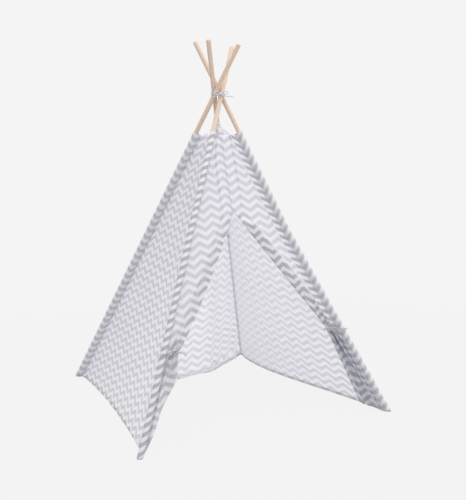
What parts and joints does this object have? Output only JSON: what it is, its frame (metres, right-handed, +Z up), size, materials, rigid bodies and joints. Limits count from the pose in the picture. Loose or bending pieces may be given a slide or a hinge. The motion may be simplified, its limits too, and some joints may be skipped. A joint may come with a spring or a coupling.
{
  "type": "kids teepee",
  "caption": "Play tent of four poles lashed near the top, with a cotton canopy on sleeves and a front slit tied back to the poles; it folds.",
  "frame": {"origin": "on the floor, in the middle of the four feet", "axes": "+Z up, -Y towards the door, +X to the right of someone who looks at the door"},
  "size_m": [1.1842, 1.1359, 1.5876],
  "materials": {
    "pole_wood": "planed round pine, unvarnished, matt",
    "ferrule_steel": "plain drawn tube",
    "canopy_cotton": "white plain-weave cotton with a printed light grey chevron",
    "sleeve_cotton": "the same printed cotton, sewn as tubes down the corners",
    "tie_cord": "white braided cotton cord"
  },
  "bodies": {
    "rear_right_leg": {"rear_right_lower_pole": "pole_wood", "rear_right_upper_pole": "pole_wood", "rear_right_ferrule": "ferrule_steel", "rear_right_sleeve": "sleeve_cotton", "right_wall": "canopy_cotton", "back_wall": "canopy_cotton", "top_lashing": "tie_cord", "lashing_knot": "tie_cord", "lashing_loop_left": "tie_cord", "lashing_loop_right": "tie_cord", "lashing_end_left": "tie_cord", "lashing_end_right": "tie_cord"},
    "rear_left_leg": {"rear_left_lower_pole": "pole_wood", "rear_left_upper_pole": "pole_wood", "rear_left_ferrule": "ferrule_steel", "rear_left_sleeve": "sleeve_cotton", "left_wall": "canopy_cotton"},
    "front_left_leg": {"front_left_lower_pole": "pole_wood", "front_left_upper_pole": "pole_wood", "front_left_ferrule": "ferrule_steel", "front_left_sleeve": "sleeve_cotton", "front_left_half": "canopy_cotton", "left_tie": "tie_cord", "left_tie_knot": "tie_cord", "left_tie_long_end": "tie_cord", "left_tie_short_end": "tie_cord"},
    "front_right_leg": {"front_right_lower_pole": "pole_wood", "front_right_upper_pole": "pole_wood", "front_right_ferrule": "ferrule_steel", "front_right_sleeve": "sleeve_cotton", "front_right_half": "canopy_cotton", "right_tie": "tie_cord", "right_tie_knot": "tie_cord", "right_tie_long_end": "tie_cord", "right_tie_short_end": "tie_cord"},
    "left_flap_tail": {"left_flap": "canopy_cotton"},
    "right_flap_tail": {"right_flap": "canopy_cotton"}
  },
  "joints": [
    {"name": "side_fold", "type": "hinge", "parent": "rear_right_leg", "child": "rear_left_leg", "pos_m": [-0.002, -0.053, 1.373], "axis": [0, -1, 0], "range_deg": [0, 24], "deforming": ["back_wall", "front_left_half", "front_right_half", "top_lashing"]},
    {"name": "front_fold_left", "type": "hinge", "parent": "rear_left_leg", "child": "front_left_leg", "pos_m": [-0.002, -0.053, 1.373], "axis": [1, 0, 0], "range_deg": [0, 34], "deforming": ["left_wall"]},
    {"name": "front_fold_right", "type": "hinge", "parent": "rear_right_leg", "child": "front_right_leg", "pos_m": [-0.002, -0.053, 1.373], "axis": [1, 0, 0], "range_deg": [0, 34], "deforming": ["right_wall"]},
    {"name": "left_flap_swing", "type": "hinge", "parent": "front_left_leg", "child": "left_flap_tail", "pos_m": [-0.40654, -0.41291, 0.349], "axis": [-0.3748, -0.3105, -0.8735], "range_deg": [0, 50], "deforming": ["left_flap"]},
    {"name": "right_flap_swing", "type": "hinge", "parent": "front_right_leg", "child": "right_flap_tail", "pos_m": [0.39963, -0.39538, 0.357], "axis": [-0.377, 0.3411, 0.8611], "range_deg": [0, 50], "deforming": ["right_flap"]}
  ],
  "couplings": [
    {"joint": "front_fold_right", "follows": "front_fold_left", "ratio": 1}
  ]
}
